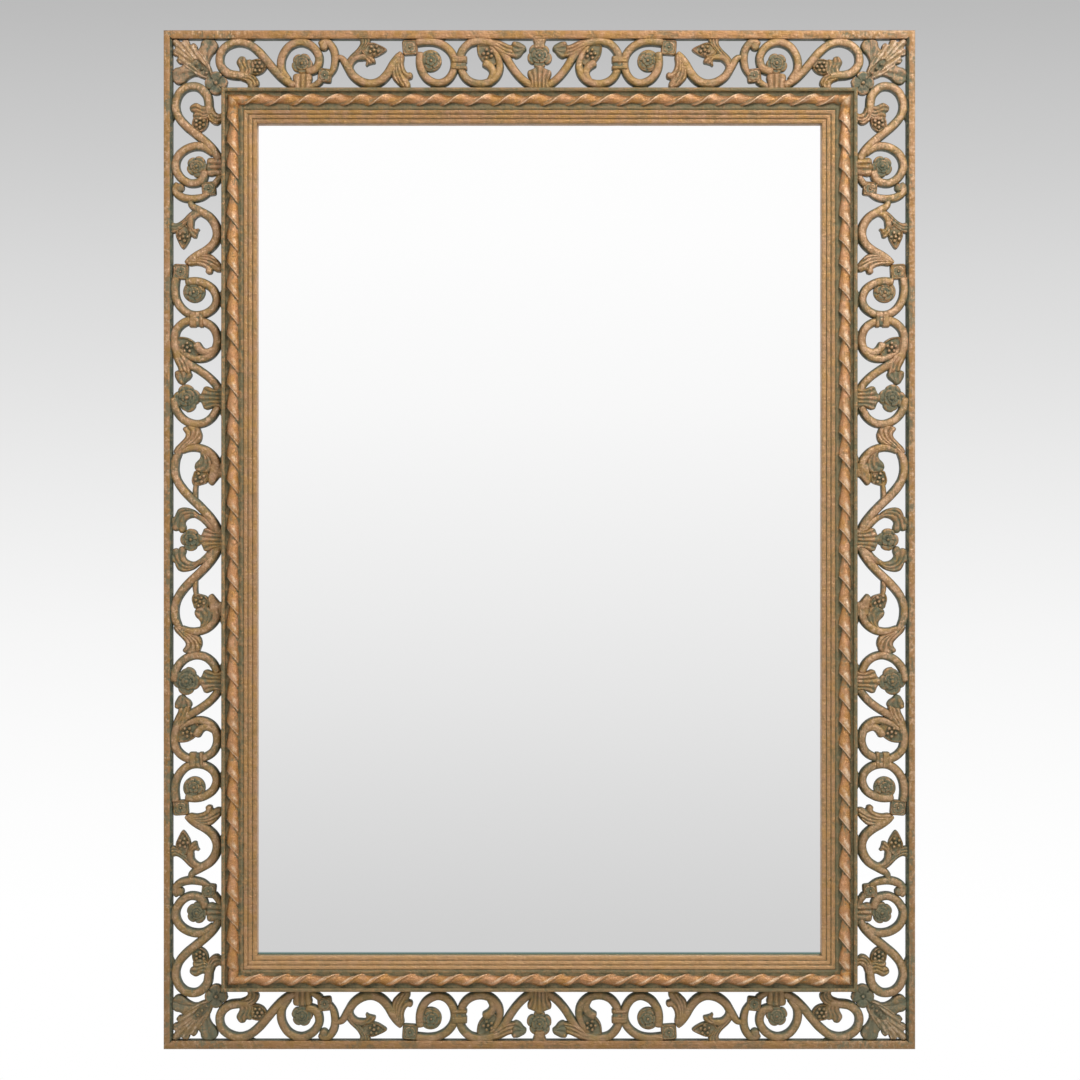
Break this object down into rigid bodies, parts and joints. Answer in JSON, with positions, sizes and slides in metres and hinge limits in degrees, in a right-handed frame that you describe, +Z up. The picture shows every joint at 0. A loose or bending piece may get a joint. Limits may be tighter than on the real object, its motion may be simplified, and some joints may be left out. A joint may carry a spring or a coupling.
{
  "type": "wall mirror",
  "caption": "Tall rectangular wall mirror in a pierced scrollwork frame with flowers, corner leaves and a rope moulding round the glass, hung on two hinged rings.",
  "frame": {"origin": "in the wall plane behind the middle of the mirror", "axes": "+X to the right seen from the front, +Z up, the glass faces -Y, the wall is at y = 0"},
  "size_m": [0.787, 0.0373, 1.067],
  "materials": {
    "rim_copper": "copper paint rubbed over dark green, satin",
    "moulding_bronze": "ribs rubbed copper, grooves left dark green, satin",
    "rope_copper": "copper paint, semi-gloss on the crests",
    "scroll_copper": "carved, copper on the faces and dark green on the sides",
    "leaf_verdigris": "carved, mostly green-bronze with copper ridges",
    "mirror_silver": "silvered flat glass",
    "board_brown": "hardboard, matt",
    "fitting_zinc": "zinc-plated sheet",
    "hanger_brass": "brass-plated steel",
    "screw_steel": "plated steel",
    "bumper_rubber": "matt"
  },
  "bodies": {
    "frame": {"rim_top": "rim_copper", "rim_right": "rim_copper", "rim_bottom": "rim_copper", "rim_left": "rim_copper", "moulding_top": "moulding_bronze", "moulding_right": "moulding_bronze", "moulding_bottom": "moulding_bronze", "moulding_left": "moulding_bronze", "rope_top": "rope_copper", "rope_right": "rope_copper", "rope_bottom": "rope_copper", "rope_left": "rope_copper", "scroll_top": "scroll_copper", "scroll_right": "scroll_copper", "scroll_bottom": "scroll_copper", "scroll_left": "scroll_copper", "leaf_top_left": "leaf_verdigris", "leaf_top_right": "leaf_verdigris", "leaf_bottom_right": "leaf_verdigris", "leaf_bottom_left": "leaf_verdigris", "mirror_glass": "mirror_silver", "backing_board": "board_brown", "glass_clips": "fitting_zinc", "brace_top_left": "fitting_zinc", "brace_top_right": "fitting_zinc", "brace_bottom_right": "fitting_zinc", "brace_bottom_left": "fitting_zinc", "hanger_left": "hanger_brass", "hanger_right": "hanger_brass", "back_screws": "screw_steel", "bumpers": "bumper_rubber"},
    "ring_left": {"ring_left": "hanger_brass"},
    "ring_right": {"ring_right": "hanger_brass"}
  },
  "joints": [
    {"name": "ring_left_hinge", "type": "hinge", "parent": "frame", "child": "ring_left", "pos_m": [-0.3177, -0.0031, 0.3185], "axis": [1, 0, 0], "range_deg": [0, 180]},
    {"name": "ring_right_hinge", "type": "hinge", "parent": "frame", "child": "ring_right", "pos_m": [0.3177, -0.0031, 0.3185], "axis": [1, 0, 0], "range_deg": [0, 180]}
  ]
}
